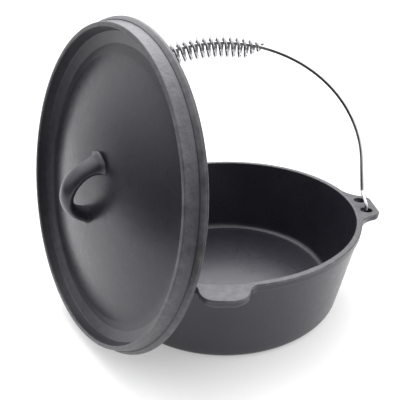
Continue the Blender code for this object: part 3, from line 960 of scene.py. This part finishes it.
def chrome_material():
    """Bright plated wire with faint drawing marks."""
    material, tree, shader = new_material("bright_wire_skin")
    coords = add_node(tree, "ShaderNodeTexCoord").outputs["Object"]
    haze = noise_field(tree, coords, 160.0, 3.0)
    marks = noise_field(tree, coords, 2400.0, 2.0)
    haze_share = spread(tree, haze, 0.35, 0.65, 0.0, 1.0)
    plated = mix_colours(tree, haze_share, PLATE_DARK, PLATE_BRIGHT)
    tree.links.new(plated, shader.inputs["Base Color"])
    tree.links.new(spread(tree, haze, 0.3, 0.7, 0.03, 0.09), shader.inputs["Roughness"])
    tree.links.new(bump(tree, marks, 0.10, 0.02 * MM), shader.inputs["Normal"])
    shader.inputs["Metallic"].default_value = 1.0
    return material


def floor_material():
    """Plain pale paper."""
    material, tree, shader = new_material("pale_floor")
    coords = add_node(tree, "ShaderNodeTexCoord").outputs["Object"]
    fibre = noise_field(tree, coords, 240.0, 3.0)
    fibre_share = spread(tree, fibre, 0.3, 0.7, 0.0, 1.0)
    paper = mix_colours(tree, fibre_share, PAPER_DARK, PAPER_PALE)
    tree.links.new(paper, shader.inputs["Base Color"])
    shader.inputs["Emission Color"].default_value = WHITE
    shader.inputs["Emission Strength"].default_value = FLOOR_GLOW
    shader.inputs["Roughness"].default_value = 0.7
    shader.inputs["Specular IOR Level"].default_value = 0.2
    return material


# ---------------------------------------------------------------- studio


def make_floor():
    mesh = bpy.data.meshes.new("floor")
    corners = [(x, y, -FLOOR_DROP) for x, y in FLOOR_CORNERS]
    mesh.from_pydata(corners, [], [(0, 1, 2, 3)])
    mesh.materials.append(floor_material())
    floor = bpy.data.objects.new("floor", mesh)
    bpy.context.scene.collection.objects.link(floor)


def make_sky():
    """Soft panels overhead, behind and at both sides, with little light from the front."""
    world = bpy.data.worlds.new("studio")
    world.use_nodes = True
    tree = world.node_tree
    direction = add_node(tree, "ShaderNodeTexCoord").outputs["Generated"]
    strength = SKY_AMBIENT
    for middle, half_angle, power in SKY_PANELS:
        facing = add_node(tree, "ShaderNodeVectorMath", {"operation": "DOT_PRODUCT"})
        tree.links.new(direction, facing.inputs[0])
        facing.inputs[1].default_value = Vector(middle).normalized()
        inputs = {
            "Value": facing.outputs["Value"],
            "From Min": math.cos(math.radians(half_angle)),
            "From Max": 1.0,
            "To Min": 0.0,
            "To Max": power,
        }
        soft = {"clamp": True, "interpolation_type": "SMOOTHSTEP"}
        panel = add_node(tree, "ShaderNodeMapRange", soft, inputs).outputs["Result"]
        strength = math_node(tree, "ADD", strength, panel)
    background = tree.nodes["Background"]
    background.inputs["Color"].default_value = WHITE
    tree.links.new(strength, background.inputs["Strength"])
    bpy.context.scene.world = world


def make_camera():
    data = bpy.data.cameras.new("camera")
    data.lens = CAMERA_LENS
    data.sensor_width = CAMERA_SENSOR
    data.shift_x, data.shift_y = CAMERA_SHIFT
    data.clip_start, data.clip_end = CAMERA_CLIP
    level = math.cos(CAMERA_ELEVATION)
    forward = Vector(
        (
            math.sin(CAMERA_AZIMUTH) * level,
            math.cos(CAMERA_AZIMUTH) * level,
            -math.sin(CAMERA_ELEVATION),
        )
    )
    right = forward.cross(Vector((0.0, 0.0, 1.0))).normalized()
    up = right.cross(forward)
    rolled_right = right * math.cos(CAMERA_ROLL) + up * math.sin(CAMERA_ROLL)
    rolled_up = up * math.cos(CAMERA_ROLL) - right * math.sin(CAMERA_ROLL)
    place = CAMERA_TARGET - forward * CAMERA_DISTANCE
    camera = bpy.data.objects.new("camera", data)
    camera.matrix_world = Matrix(
        (
            (rolled_right.x, rolled_up.x, -forward.x, place.x),
            (rolled_right.y, rolled_up.y, -forward.y, place.y),
            (rolled_right.z, rolled_up.z, -forward.z, place.z),
            (0.0, 0.0, 0.0, 1.0),
        )
    )
    bpy.context.scene.collection.objects.link(camera)
    bpy.context.scene.camera = camera


def main():
    iron = iron_material()
    chrome = chrome_material()
    make_pot(iron)
    make_lid(iron)
    make_loop(iron)
    make_bail(chrome)
    make_floor()
    make_sky()
    make_camera()
    bpy.context.scene.view_settings.view_transform = "Standard"


main()
bpy.context.view_layer.update()
